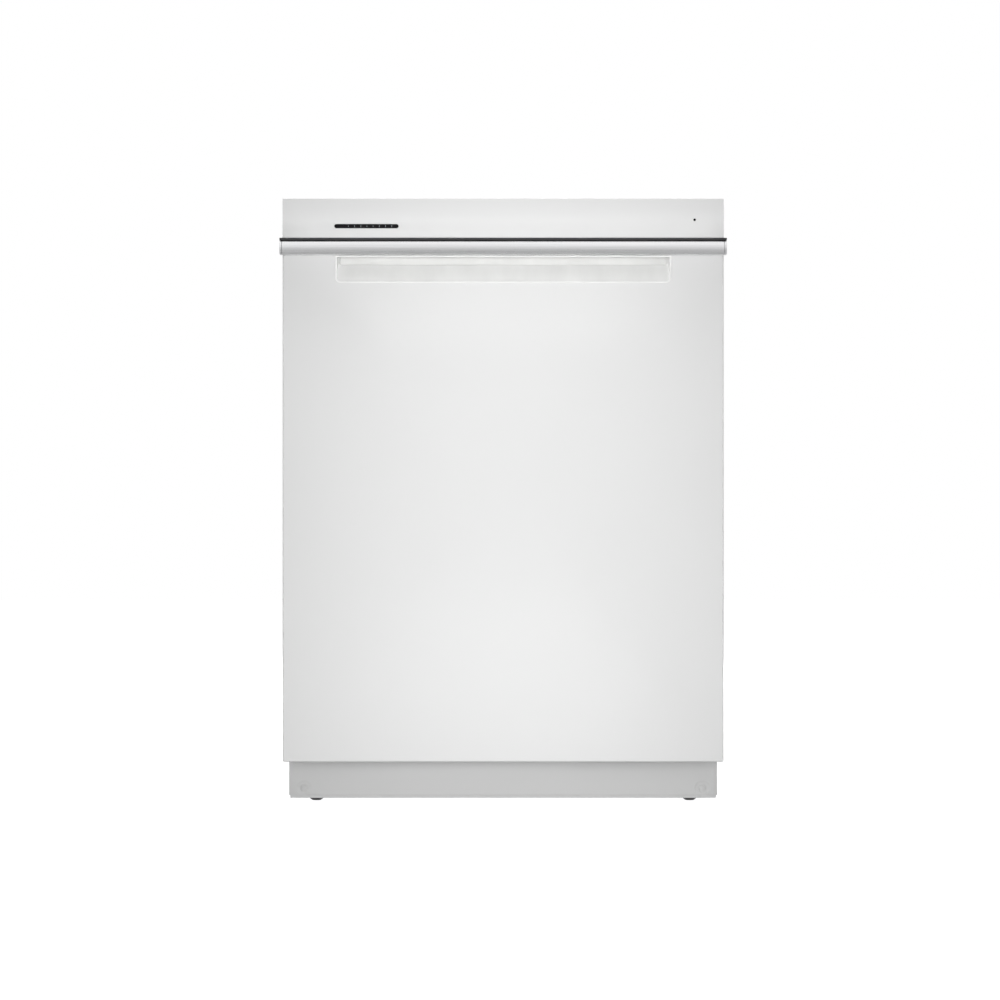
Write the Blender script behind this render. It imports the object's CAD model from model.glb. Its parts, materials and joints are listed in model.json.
"""A built-in dishwasher: fine shapes and finishes on top of the CAD frame.

The frame is in metres, with +X to the machine's right, +Y to its rear and +Z up. The shapes below are worked
out in millimetres and brought to metres when their mesh is made.
"""

import json
import math

import bmesh
import bpy
from mathutils import Matrix, Vector

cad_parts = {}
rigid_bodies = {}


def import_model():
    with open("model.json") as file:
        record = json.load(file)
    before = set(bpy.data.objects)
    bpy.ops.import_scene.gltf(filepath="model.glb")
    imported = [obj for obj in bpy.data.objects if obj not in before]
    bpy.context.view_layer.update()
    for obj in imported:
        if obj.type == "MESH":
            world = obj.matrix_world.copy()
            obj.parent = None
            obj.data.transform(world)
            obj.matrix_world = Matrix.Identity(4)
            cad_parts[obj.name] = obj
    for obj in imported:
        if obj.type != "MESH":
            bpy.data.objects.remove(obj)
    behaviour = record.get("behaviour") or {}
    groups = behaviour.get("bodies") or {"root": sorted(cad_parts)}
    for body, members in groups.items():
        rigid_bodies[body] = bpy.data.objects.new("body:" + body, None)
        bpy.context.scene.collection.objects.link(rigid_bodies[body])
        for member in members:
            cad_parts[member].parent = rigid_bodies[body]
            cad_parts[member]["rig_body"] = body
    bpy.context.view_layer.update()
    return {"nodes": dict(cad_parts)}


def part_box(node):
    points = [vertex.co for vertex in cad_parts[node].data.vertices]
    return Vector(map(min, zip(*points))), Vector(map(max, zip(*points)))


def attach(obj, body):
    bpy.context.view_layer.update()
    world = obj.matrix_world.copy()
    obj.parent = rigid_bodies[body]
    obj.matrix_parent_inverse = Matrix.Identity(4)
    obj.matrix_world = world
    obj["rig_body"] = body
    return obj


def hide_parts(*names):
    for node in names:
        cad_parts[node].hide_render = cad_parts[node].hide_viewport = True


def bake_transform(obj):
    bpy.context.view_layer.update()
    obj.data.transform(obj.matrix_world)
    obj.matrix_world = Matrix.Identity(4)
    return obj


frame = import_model()

MM = 0.001
SIDES = {"left": -1, "right": 1}


def node_box(node):
    """The lowest and highest corners of a CAD node, in millimetres."""
    lo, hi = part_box(node)
    return lo / MM, hi / MM


def node_centre(node):
    lo, hi = node_box(node)
    return (lo + hi) / 2


# ---------------------------------------------------------------- materials


class Nodes:
    """A small helper that adds shader nodes to one material and links them."""

    def __init__(self, name):
        self.material = bpy.data.materials.new(name)
        self.material.use_nodes = True
        self.tree = self.material.node_tree
        self.shader = self.tree.nodes["Principled BSDF"]
        self.coords = self.add("ShaderNodeTexCoord").outputs["Object"]

    def add(self, kind, **settings):
        node = self.tree.nodes.new(kind)
        for key, value in settings.items():
            setattr(node, key, value)
        return node

    def link(self, source, target):
        self.tree.links.new(source, target)

    def scaled(self, scale, vector=None):
        """Object coordinates, in metres, or another vector, multiplied along each axis."""
        mapping = self.add("ShaderNodeMapping")
        mapping.inputs["Scale"].default_value = scale
        self.link(vector or self.coords, mapping.inputs["Vector"])
        return mapping.outputs["Vector"]

    def texture(self, kind, vector=None, **values):
        node = self.add(kind)
        for key, value in values.items():
            node.inputs[key].default_value = value
        self.link(vector or self.coords, node.inputs["Vector"])
        return node

    def noise(self, scale, detail=2.0, vector=None):
        return self.texture("ShaderNodeTexNoise", vector, Scale=scale, Detail=detail).outputs["Fac"]

    def between(self, value, low, high, source=(0.3, 0.7)):
        """value stretched from the source range to low and high."""
        node = self.add("ShaderNodeMapRange")
        for key, number in zip(("From Min", "From Max", "To Min", "To Max"), (*source, low, high)):
            node.inputs[key].default_value = number
        self.link(value, node.inputs["Value"])
        return node.outputs["Result"]

    def tint(self, value, dark, light):
        """A colour between two colours."""
        node = self.add("ShaderNodeMix", data_type="RGBA")
        node.inputs["A"].default_value = (*dark, 1)
        node.inputs["B"].default_value = (*light, 1)
        self.link(value, node.inputs["Factor"])
        return node.outputs["Result"]

    def bump(self, height, distance, strength=1.0, below=None):
        node = self.add("ShaderNodeBump")
        node.inputs["Distance"].default_value = distance
        node.inputs["Strength"].default_value = strength
        self.link(height, node.inputs["Height"])
        if below:
            self.link(below, node.inputs["Normal"])
        return node.outputs["Normal"]

    def finish(self, color, roughness, normal=None, **sockets):
        self.link(color, self.shader.inputs["Base Color"])
        self.link(roughness, self.shader.inputs["Roughness"])
        if normal:
            self.link(normal, self.shader.inputs["Normal"])
        for key, value in sockets.items():
            self.shader.inputs[key.replace("_", " ")].default_value = value
        return self.material


def darker(color, share):
    return tuple(c * share for c in color)


def enamel(name, color):
    """Glossy paint on sheet steel, which waves a little, with very faint tone changes."""
    n = Nodes(name)
    tone = n.between(n.noise(6, 3), 0, 1)
    waves = n.bump(n.noise(9, 1), 0.0006, 0.05)
    rough = n.between(n.noise(25, 1), 0.28, 0.33)
    paint = n.tint(tone, darker(color, 0.985), color)
    return n.finish(paint, rough, waves, Coat_Weight=0.35, Coat_Roughness=0.12)


def moulded(name, color, rough=0.42, grain=1400, depth=0.00003, spread=0.06):
    """Moulded plastic with a fine spark-eroded grain and faint flow marks."""
    n = Nodes(name)
    flow = n.noise(35, 4, n.scaled((1, 1, 0.35)))
    tone = n.between(flow, 0, 1)
    pits = n.bump(n.noise(grain, 3), depth, 0.5)
    roughness = n.between(n.noise(180, 4), rough - spread, rough + spread)
    return n.finish(n.tint(tone, darker(color, 0.93), color), roughness, pits)


def brushed(name, color, along, rough=0.3, fine=1100):
    """Metal with fine brush lines along one axis: 0 is X, 1 is Y and 2 is Z."""
    n = Nodes(name)
    scale = [fine] * 3
    scale[along] = 9
    vector = n.scaled(scale)
    lines = n.noise(1, 3, vector)
    long_lines = n.noise(0.35, 2, vector)
    tone = n.tint(n.between(long_lines, 0, 1), darker(color, 0.9), color)
    roughness = n.between(lines, rough - 0.07, rough + 0.09)
    normal = n.bump(lines, 0.00001, 0.35)
    return n.finish(tone, roughness, normal, Metallic=1.0, Anisotropic=0.35)


def galvanised(name, color):
    """Zinc-coated sheet with its pattern of crystals."""
    n = Nodes(name)
    crystals = n.texture("ShaderNodeTexVoronoi", Scale=85)
    split = n.add("ShaderNodeSeparateColor")
    n.link(crystals.outputs["Color"], split.inputs["Color"])
    tone = n.tint(split.outputs["Red"], darker(color, 0.78), color)
    roughness = n.between(split.outputs["Green"], 0.34, 0.52, (0, 1))
    normal = n.bump(n.noise(500, 4), 0.00003, 0.3)
    return n.finish(tone, roughness, normal, Metallic=0.9)


def soft_rubber(name, color):
    """Extruded rubber: fine die lines with a dusting of lighter bloom."""
    n = Nodes(name)
    bloom = n.between(n.noise(90, 5), 0, 1, (0.4, 0.75))
    lines = n.bump(n.noise(1, 3, n.scaled((2500, 2500, 40))), 0.00003, 0.4)
    roughness = n.between(n.noise(250, 3), 0.62, 0.85)
    lighter = tuple(c * 1.5 + 0.01 for c in color)
    return n.finish(n.tint(bloom, color, lighter), roughness, lines)


def felted(name, color):
    """Pressed recycled fibre: tangled threads in several greys."""
    n = Nodes(name)
    warped = n.texture("ShaderNodeTexNoise", Scale=60)
    mixed = n.add("ShaderNodeVectorMath", operation="MULTIPLY_ADD")
    n.link(warped.outputs["Color"], mixed.inputs[0])
    mixed.inputs[1].default_value = (0.02, 0.02, 0.02)
    n.link(n.coords, mixed.inputs[2])
    threads = n.noise(1, 5, n.scaled((900, 260, 900), mixed.outputs[0]))
    crossed = n.noise(1, 5, n.scaled((260, 900, 380), mixed.outputs[0]))
    blotches = n.noise(28, 5)
    height = n.add("ShaderNodeMath", operation="ADD")
    n.link(threads, height.inputs[0])
    n.link(crossed, height.inputs[1])
    normal = n.bump(height.outputs[0], 0.0011, 0.8)
    first = n.tint(n.between(threads, 0, 1, (0.35, 0.65)), darker(color, 0.55), tuple(c * 1.7 for c in color))
    spotted = n.add("ShaderNodeMix", data_type="RGBA", blend_type="MULTIPLY")
    spotted.inputs["Factor"].default_value = 0.6
    n.link(first, spotted.inputs["A"])
    n.link(n.tint(n.between(blotches, 0, 1), (0.4, 0.4, 0.41), (1, 1, 1)), spotted.inputs["B"])
    roughness = n.between(crossed, 0.85, 1.0)
    return n.finish(spotted.outputs["Result"], roughness, normal, Sheen_Weight=0.25, Sheen_Roughness=0.6)


def dark_glass(name):
    """Smoked acrylic: black, glossy, with a few fine wipe marks."""
    n = Nodes(name)
    wipes = n.noise(1, 4, n.scaled((60, 900, 900)))
    roughness = n.between(wipes, 0.08, 0.2, (0.35, 0.75))
    tone = n.tint(n.between(wipes, 0, 1), (0.004, 0.004, 0.005), (0.009, 0.009, 0.01))
    return n.finish(tone, roughness, None, Specular_IOR_Level=0.12)


def glowing(name, color, strength):
    """A small lit mark behind smoked acrylic, brighter in its middle."""
    n = Nodes(name)
    tone = n.tint(n.between(n.noise(700, 2), 0, 1), darker(color, 0.8), color)
    n.link(tone, n.shader.inputs["Emission Color"])
    rough = n.between(n.noise(500, 2), 0.35, 0.5)
    return n.finish(tone, rough, None, Emission_Strength=strength)


def mesh_screen(name, color):
    """Etched stainless filter screen: rows of small holes, shown as dark dots with a raised web."""
    n = Nodes(name)
    holes = n.texture("ShaderNodeTexVoronoi", Scale=620, Randomness=0.0)
    web = n.between(holes.outputs["Distance"], 0, 1, (0.3, 0.42))
    tone = n.tint(web, darker(color, 0.06), color)
    normal = n.bump(web, 0.0002, 0.6)
    roughness = n.between(n.noise(300, 3), 0.3, 0.45)
    return n.finish(tone, roughness, normal, Metallic=0.85)


WHITE = enamel("white_enamel", (0.7, 0.702, 0.7))
WHITE_PLASTIC = moulded("white_plastic", (0.75, 0.752, 0.742), rough=0.36, depth=0.00001)
RIM_WHITE = moulded("rim_plastic", (0.86, 0.862, 0.855), rough=0.33, depth=0.00001)
VALVE_PLASTIC = moulded("valve_plastic", (0.7, 0.7, 0.66))
DARK = moulded("dark_plastic", (0.022, 0.022, 0.023), rough=0.4)
TRIM = brushed("trim_metal", (0.8, 0.8, 0.81), 0, rough=0.27, fine=1500)
CAP_METAL = brushed("trim_cap_metal", (0.8, 0.8, 0.81), 0, rough=0.3, fine=1500)
STEEL_X = brushed("stainless_x", (0.66, 0.665, 0.67), 0)
STEEL_Y = brushed("stainless_y", (0.66, 0.665, 0.67), 1)
STEEL_Z = brushed("stainless_z", (0.66, 0.665, 0.67), 2)
BRIGHT = brushed("bright_steel", (0.72, 0.72, 0.73), 0, rough=0.22)
ZINC = galvanised("galvanised_sheet", (0.6, 0.61, 0.62))
GREY = moulded("grey_plastic", (0.3, 0.315, 0.33), rough=0.45)
LIGHT_GREY = moulded("light_grey_plastic", (0.5, 0.515, 0.53), rough=0.42)
RACK_COAT = moulded("rack_nylon", (0.36, 0.4, 0.44), rough=0.38, grain=900)
SEAL = soft_rubber("seal_rubber", (0.03, 0.03, 0.032))
FELT = felted("sound_felt", (0.1, 0.101, 0.106))
BLACK_STEEL = enamel("black_steel", (0.025, 0.025, 0.026))
KICK_WHITE = enamel("kick_enamel", (0.62, 0.622, 0.62))
WINDOW = dark_glass("smoked_window")
MARK = glowing("window_mark", (0.3, 0.31, 0.32), 0.05)
SCREEN = mesh_screen("filter_screen", (0.6, 0.6, 0.61))


# ---------------------------------------------------------------- mesh tools


def circle(count, start=0):
    """Angles spread evenly round a full turn."""
    return [start + 2 * math.pi * k / count for k in range(count)]


class Shape:
    """Closed bodies gathered into one mesh, in millimetres."""

    def __init__(self):
        self.bm = bmesh.new()

    def faces(self, points, faces):
        verts = [self.bm.verts.new(p) for p in points]
        for face in faces:
            self.bm.faces.new([verts[i] for i in face])
        return self

    def block(self, lo, hi):
        xs, ys, zs = zip(lo, hi)
        points = [(x, y, z) for z in zs for y in ys for x in xs]
        faces = [(0, 2, 3, 1), (4, 5, 7, 6), (0, 1, 5, 4), (2, 6, 7, 3), (0, 4, 6, 2), (1, 3, 7, 5)]
        return self.faces(points, faces)

    def blocks(self, turns, lo, hi, at=(0, 0, 0), axis="Z"):
        """A block for each angle, turned about an axis through at."""
        for turn in turns:
            piece = Shape().block(lo, hi)
            piece.move(Matrix.Translation(at) @ Matrix.Rotation(turn, 4, axis))
            self.merge(piece)
        return self

    def skin(self, loops, around=True):
        """Faces between neighbouring loops of points. Gives back the vertices of each loop."""
        rows = [[self.bm.verts.new(p) for p in loop] for loop in loops]
        self.span(rows, around)
        return rows

    def span(self, rows, around=True):
        count = len(rows[0])
        for a, b in zip(rows, rows[1:]):
            for k in range(count if around else count - 1):
                j = (k + 1) % count
                self.bm.faces.new((a[k], a[j], b[j], b[k]))

    def rings(self, rings, closed=False):
        """A skin over rings of points. An open row of rings is capped at both ends."""
        rows = self.skin(rings)
        if closed:
            self.span([rows[-1], rows[0]])
        else:
            self.bm.faces.new(rows[0][::-1])
            self.bm.faces.new(rows[-1])
        return self

    def wire(self, points, radius, sides=8, closed=False):
        """Round wire along points, kept free of twist."""
        pts = [Vector(p) for p in points]
        ahead = headings(pts, closed)
        normal = ahead[0].orthogonal().normalized()
        rings = []
        for p, direction in zip(pts, ahead):
            normal = (normal - direction * normal.dot(direction)).normalized()
            side = direction.cross(normal)
            rings.append([p + radius * (normal * math.cos(t) + side * math.sin(t)) for t in circle(sides)])
        return self.rings(rings, closed)

    def swept(self, path, profile, out):
        """A closed profile of (across, out) points carried along an open flat path, capped at both ends."""
        return self.rings(carried(path, profile, out))

    def lathe(self, profile, at=(0, 0, 0), axis="Z", segments=48):
        """A solid of revolution.

        The profile is a list of (radius, height) that starts and ends on the axis, or closes on itself.
        """
        hollow = profile[0][0] > 1e-6
        rows = profile if hollow else profile[1:-1]
        rings = [[spun(r, h, t, at, axis) for t in circle(segments)] for r, h in rows]
        if hollow:
            return self.rings(rings, closed=True)
        verts = self.skin(rings)
        first, last = (self.bm.verts.new(spun(0, profile[end][1], 0, at, axis)) for end in (0, -1))
        for k in range(segments):
            j = (k + 1) % segments
            self.bm.faces.new((first, verts[0][j], verts[0][k]))
            self.bm.faces.new((last, verts[-1][k], verts[-1][j]))
        return self

    def prism(self, outline, start, end, plane):
        """An outline in one plane, such as "xz", pushed along the third axis from start to end."""
        return self.rings([[in_plane(a, b, c, plane) for a, b in outline] for c in (start, end)])

    def frame(self, outer, inner, start, end):
        """A flat frame between two outlines in the xz plane with the same number of points."""
        loops = ((outer, start), (outer, end), (inner, end), (inner, start))
        rings = zip(*([(a, y, b) for a, b in line] for line, y in loops))
        return self.rings([list(ring) for ring in rings], closed=True)

    def move(self, matrix):
        bmesh.ops.transform(self.bm, matrix=matrix, verts=self.bm.verts)
        return self

    def merge(self, other):
        """Moves everything in another shape into this one."""
        mesh = bpy.data.meshes.new("merge")
        other.bm.to_mesh(mesh)
        other.bm.free()
        self.bm.from_mesh(mesh)
        bpy.data.meshes.remove(mesh)
        return self

    def mesh(self, name):
        """The finished mesh in metres. The shape can't be used after it."""
        bmesh.ops.scale(self.bm, vec=(MM, MM, MM), verts=self.bm.verts)
        mesh = bpy.data.meshes.new(name)
        self.bm.to_mesh(mesh)
        self.bm.free()
        return mesh

    def object(self, name, material, bevel=0.0, segments=2, sharp=35):
        """The finished object, with its edges rounded."""
        bmesh.ops.recalc_face_normals(self.bm, faces=self.bm.faces)
        return made_object(name, self.mesh(name), material, bevel, segments, sharp)


def spun(radius, height, turn, at, axis):
    a, b = radius * math.cos(turn), radius * math.sin(turn)
    offset = {"X": (height, a, b), "Y": (b, height, a), "Z": (a, b, height)}[axis]
    return Vector(at) + Vector(offset)


def in_plane(a, b, c, plane):
    return {"xz": (a, c, b), "yz": (c, a, b), "xy": (a, b, c)}[plane]


def made_object(name, mesh, material, bevel=0.0, segments=2, sharp=35):
    obj = bpy.data.objects.new(name, mesh)
    bpy.context.scene.collection.objects.link(obj)
    mesh.materials.clear()
    mesh.materials.append(material)
    if bevel:
        edge = obj.modifiers.new("edges", "BEVEL")
        edge.width = bevel * MM
        edge.segments = segments
        edge.limit_method = "ANGLE"
        edge.angle_limit = math.radians(sharp)
        settle(obj)
    shade(obj, sharp)
    return obj


def settle(obj):
    """Turns an object's modifiers into its mesh."""
    bpy.context.view_layer.update()
    evaluated = obj.evaluated_get(bpy.context.evaluated_depsgraph_get())
    mesh = bpy.data.meshes.new_from_object(evaluated)
    obj.modifiers.clear()
    obj.data = mesh
    return obj


def shade(obj, sharp=35):
    """Smooth shading, with edges left hard where the surface turns by more than an angle."""
    obj.data.shade_smooth()
    obj.data.set_sharp_from_angle(angle=math.radians(sharp))
    return obj


def carve(obj, cutter):
    """Cuts one shape out of an object."""
    tool = cutter.object("cutter", obj.data.materials[0])
    step = obj.modifiers.new("cut", "BOOLEAN")
    step.operation = "DIFFERENCE"
    step.solver = "EXACT"
    step.object = tool
    settle(obj)
    bpy.data.objects.remove(tool)
    return shade(obj)


def walled(obj, thickness, offset, sharp=35, even=False):
    """Gives an open skin a thickness, towards the side that offset says."""
    wall = obj.modifiers.new("wall", "SOLIDIFY")
    wall.thickness = thickness * MM
    wall.offset = offset
    wall.use_even_offset = even
    return shade(settle(obj), sharp)


def refined(node, material, bevel, segments=3, sharp=35, name=None):
    """A copy of a CAD node with flat faces joined, its edges rounded and its wide faces shaded flat."""
    bm = bmesh.new()
    bm.from_mesh(frame["nodes"][node].data)
    bmesh.ops.remove_doubles(bm, verts=bm.verts, dist=0.000002)
    bmesh.ops.dissolve_limit(bm, angle_limit=math.radians(0.5), verts=bm.verts, edges=bm.edges)
    mesh = bpy.data.meshes.new(node)
    bm.to_mesh(mesh)
    bm.free()
    obj = made_object(name or node + "_detail", mesh, material, bevel, segments, sharp)
    obj.modifiers.new("normals", "WEIGHTED_NORMAL").keep_sharp = True
    return stands_for(settle(obj), node)


def stands_for(obj, *nodes):
    """Lets an object replace CAD nodes and ride on their body."""
    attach(obj, frame["nodes"][nodes[0]]["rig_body"])
    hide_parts(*nodes)
    return obj


def rides_with(obj, node):
    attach(obj, frame["nodes"][node]["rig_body"])
    return obj


def arc(centre, radius, start, end, steps):
    """Points on an arc in a plane, by angles in degrees."""
    turns = [math.radians(start + (end - start) * k / steps) for k in range(steps + 1)]
    return [(centre[0] + radius * math.cos(t), centre[1] + radius * math.sin(t)) for t in turns]


def rounded(lo, hi, radius, steps=6):
    """A rectangle with round corners, anticlockwise from the bottom right.

    Four radii may be given: bottom right, top right, top left and bottom left.
    """
    radii = [radius] * 4 if isinstance(radius, (int, float)) else radius
    corners = [(hi[0], lo[1], -90), (hi[0], hi[1], 0), (lo[0], hi[1], 90), (lo[0], lo[1], 180)]
    points = []
    for (x, y, start), r in zip(corners, radii):
        if r < 1e-6:
            points.append((x, y))
            continue
        centre = (x - r if x == hi[0] else x + r, y - r if y == hi[1] else y + r)
        points += arc(centre, r, start, start + 90, steps)
    return points


def bent(points, radius, steps=5, closed=False):
    """A path of straight runs with its corners rounded, for bent wire."""
    pts = [Vector(p) for p in points]
    count = len(pts)
    path = []
    for k, p in enumerate(pts):
        if not closed and k in (0, count - 1):
            path.append(p)
            continue
        before, after = pts[(k - 1) % count], pts[(k + 1) % count]
        a, b = (before - p), (after - p)
        reach = min(radius, a.length * 0.49, b.length * 0.49)
        start, end = p + a.normalized() * reach, p + b.normalized() * reach
        for s in range(steps + 1):
            t = s / steps
            path.append(start * (1 - t) ** 2 + p * 2 * t * (1 - t) + end * t * t)
    return path


def headings(pts, closed):
    """The direction of travel at each point of a path."""
    last = len(pts) - 1
    ahead = []
    for k in range(len(pts)):
        before, after = (k - 1, (k + 1) % len(pts)) if closed else (max(k - 1, 0), min(k + 1, last))
        ahead.append((pts[after] - pts[before]).normalized())
    return ahead


def carried(path, profile, out, closed=False):
    """Rings for a profile of (across, out) points carried along a flat path that faces along out."""
    out = Vector(out)
    pts = [Vector(p) for p in path]
    rings = []
    for p, ahead in zip(pts, headings(pts, closed)):
        across = out.cross(ahead)
        rings.append([p + across * a + out * b for a, b in profile])
    return rings


def bead(width, height, sunk=0.4, steps=8):
    """The section of a pressed bead: a low arch whose foot is sunk a little in the sheet."""
    turns = [math.pi * k / steps for k in range(steps + 1)]
    arch = [(width / 2 * math.cos(t), height * math.sin(t)) for t in turns]
    return arch + [(-width / 2, -sunk), (width / 2, -sunk)]


def pan(name, lo, hi, material, open_sides, radius, thickness, steps=4):
    """A folded or drawn box of sheet with round edges, open on the sides named, such as "-y"."""
    shape = Shape().block(lo, hi)
    bm = shape.bm
    bmesh.ops.recalc_face_normals(bm, faces=bm.faces)
    for sign, axis in open_sides:
        way = Vector([float(a == axis) for a in "xyz"]) * (-1 if sign == "-" else 1)
        gone = [f for f in bm.faces if f.normal.dot(way) > 0.9]
        bmesh.ops.delete(bm, geom=gone, context="FACES")
    edges = [e for e in bm.edges if not e.is_boundary]
    bmesh.ops.bevel(
        bm, geom=edges, offset=radius, segments=steps, profile=0.5, affect="EDGES", clamp_overlap=True
    )
    return walled(made_object(name, shape.mesh(name), material), thickness, -1, even=True)


def screw_head(shape, at, facing, radius=4.2, depth=2.4):
    """A pan head with a cross recess, standing on a face that looks along facing."""
    profile = [(0, 0), (radius, 0), (radius, depth * 0.35)]
    profile += [(radius * math.cos(t), depth * (0.35 + 0.65 * math.sin(t))) for t in (0.4, 0.8, 1.2)]
    head = Shape().lathe(profile + [(0, depth)], segments=28)
    half, width = radius * 0.5, radius * 0.11
    head.blocks((0, math.pi / 2), (-half, -width, depth - 0.05), (half, width, depth + 0.05))
    head.move(Vector(facing).to_track_quat("Z", "Y").to_matrix().to_4x4())
    head.move(Matrix.Translation(at))
    return shape.merge(head)


def threaded(shape, at, radius, start, end, pitch=1.75, depth=0.7, sides=18):
    """A stud with a real helical thread, standing along Z."""
    steps = int((end - start) / pitch * 6)
    rings = []
    for k in range(steps + 1):
        z = start + (end - start) * k / steps
        ring = []
        for turn in circle(sides):
            crest = 0.5 + 0.5 * math.cos(2 * math.pi * z / pitch - turn)
            r = radius - depth * (1 - crest)
            ring.append((at[0] + r * math.cos(turn), at[1] + r * math.sin(turn), z))
        rings.append(ring)
    return shape.rings(rings)


def hexagon(centre, radius):
    return arc(centre, radius, 0, 300, 5)


# ---------------------------------------------------------------- door: outside

door_lo, door_hi = node_box("door_outer_panel")
FACE = door_lo.y  # the plane of the door's face
pocket_lo, pocket_hi = node_box("handle_pocket")
bar_lo, bar_hi = node_box("handle_trim_bar")
RIM = 2.6  # width of the pocket's rim
FLARE_SIDE, FLARE_FOOT = 1.6, 22  # how far the pocket's flare reaches in from its sides and its bottom
TURN = 0.5  # radius of the turn from the flare into the recess
LIP, FALL = 0.6, 7.5  # depth of the flare at the lip, and how much deeper it is at the recess
MOUTH_TOP = bar_lo.z - 0.3

skin = pan("door_skin", door_lo, door_hi, WHITE, ["+y"], 2.2, 0.8, steps=5)
mouth = rounded((pocket_lo.x + 2.4, pocket_lo.z + 2.2), (pocket_hi.x - 2.4, bar_lo.z), (7, 0, 0, 7))
carve(skin, Shape().prism(mouth, FACE - 1, FACE + 2, "xz"))
inside = (door_lo.x + 1, door_hi.x - 1)
for low, high in ((door_lo.z - 1, door_lo.z + 6), (door_hi.z - 6, door_hi.z + 1)):
    carve(skin, Shape().block((inside[0], FACE + 14, low), (inside[1], FACE + 30, high)))
stands_for(skin, "door_outer_panel")


def flare_outline(share):
    """One loop of the pocket's flare as (x, depth, z) points: share 0 is at the lip and 1 at the recess."""
    half = pocket_hi.x - RIM - FLARE_SIDE * share
    low = pocket_lo.z + RIM + FLARE_FOOT * share
    side_depth = LIP + FALL * (1 - (1 - share) ** 1.6)
    foot_depth = LIP + FALL * (0.35 * share + 0.65 * share**2)
    points = []
    for x, z in rounded((-half, low), (half, pocket_hi.z - 2.5), (5, 0, 0, 5), 8):
        from_side = min(abs(abs(x) - half), 5) / 5
        from_foot = min(z - low, 5) / 5
        lean = 0.5 + 0.5 * (from_side - from_foot)
        points.append((x, side_depth + (foot_depth - side_depth) * lean, z))
    return points


def pocket_body():
    """The moulded scoop: a flare behind the lip that runs into a straight-sided recess for the fingertips."""
    depth = pocket_hi.y - 2.5 - FACE
    loops = [flare_outline(k / 16) for k in range(17)]
    edge = loops[-1]

    def inset(points, by, depth_of):
        made = []
        for x, d, z in points:
            rises = by if z < edge[0][2] + 3 and z <= pocket_hi.z - 3 else 0
            made.append((x - math.copysign(by, x), depth_of(d), z + rises))
        return made

    for turn in (25, 50, 75, 90):
        t = math.radians(turn)
        loops.append(inset(edge, TURN * math.sin(t), lambda d, t=t: d + 0.8 + TURN * (1 - math.cos(t))))
    loops.append(inset(edge, TURN, lambda d: depth - 3))
    for turn in (30, 60, 90):
        t = math.radians(turn)
        loops.append(inset(edge, TURN + 1.5 * (1 - math.cos(t)), lambda d, t=t: depth - 3 + 3 * math.sin(t)))
    shape = Shape()
    rows = shape.skin([[(x, FACE + d, z) for x, d, z in loop] for loop in loops])
    back = shape.bm.faces.new(rows[-1])
    shape.bm.normal_update()
    grows = 1 if back.normal.y > 0 else -1
    return walled(made_object("pocket_body", shape.mesh("pocket_body"), WHITE_PLASTIC), 1.6, grows, 40)


stands_for(pocket_body(), "handle_pocket")

EDGE = RIM / 2
rim_corners = rounded(
    (pocket_lo.x + EDGE, pocket_lo.z + EDGE), (pocket_hi.x - EDGE, MOUTH_TOP - EDGE), (6, 0.8, 0.8, 6), 8
)
rim_profile = [(-EDGE, -1.6), (EDGE, -1.6), (EDGE, 0.6), (EDGE - 0.15, 0.95), (EDGE - 0.5, 1.1)]
rim_profile += [(0.5 - EDGE, 1.1), (0.15 - EDGE, 0.95), (-EDGE, 0.6)]
rings = carried([(x, FACE, z) for x, z in rim_corners], rim_profile, (0, -1, 0), closed=True)
for ring in rings:
    for p in ring:
        if p.z > MOUTH_TOP - RIM:
            p.z = MOUTH_TOP - (MOUTH_TOP - p.z) * 0.8  # the top run is thinner
rim = Shape().rings(rings, closed=True).object("pocket_rim", RIM_WHITE, sharp=50)
rides_with(rim, "handle_pocket")


def bar_section(lo, hi, back):
    """The trim bar's outline in (y, z): an arc in front, with small round shoulders, and flat behind."""
    sagitta, shoulder = 4.4, 0.5
    half = (hi.z - lo.z) / 2 - shoulder * 0.4
    radius = (half * half + sagitta * sagitta) / (2 * sagitta)
    centre = (lo.y + radius, (lo.z + hi.z) / 2)
    swing = math.degrees(math.asin(half / radius))
    front = arc(centre, radius, 180 - swing, 180 + swing, 40)
    top = [(back, hi.z), (front[0][0] + shoulder * 1.6, hi.z)]
    foot = [(front[-1][0] + shoulder * 1.6, lo.z), (back, lo.z)]
    return top + front + foot


bar = Shape().prism(bar_section(bar_lo, bar_hi, bar_hi.y), bar_lo.x, bar_hi.x, "yz")
stands_for(bar.object("trim_bar", TRIM, bevel=0.25, segments=2, sharp=50), "handle_trim_bar")
for side in SIDES:
    cap_lo, cap_hi = node_box(f"trim_end_cap_{side}")
    cap = Shape().prism(bar_section(cap_lo, cap_hi, cap_hi.y), cap_lo.x, cap_hi.x, "yz")
    cap = cap.object(f"trim_cap_{side}", CAP_METAL, bevel=0.9, segments=4, sharp=50)
    stands_for(cap, f"trim_end_cap_{side}")
refined("handle_trim_carrier", DARK, 0.35, 2)
refined("control_panel", WHITE, 0.3, 2)

window_lo, window_hi = node_box("display_window")
ends = (window_hi.z - window_lo.z) / 2 - 0.01
outline = rounded((window_lo.x, window_lo.z), (window_hi.x, window_hi.z), ends, 12)
window = Shape().prism(outline, window_lo.y - 0.15, window_hi.y, "xz")
stands_for(window.object("window_lens", WINDOW, bevel=0.3, segments=3, sharp=50), "display_window")

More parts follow.
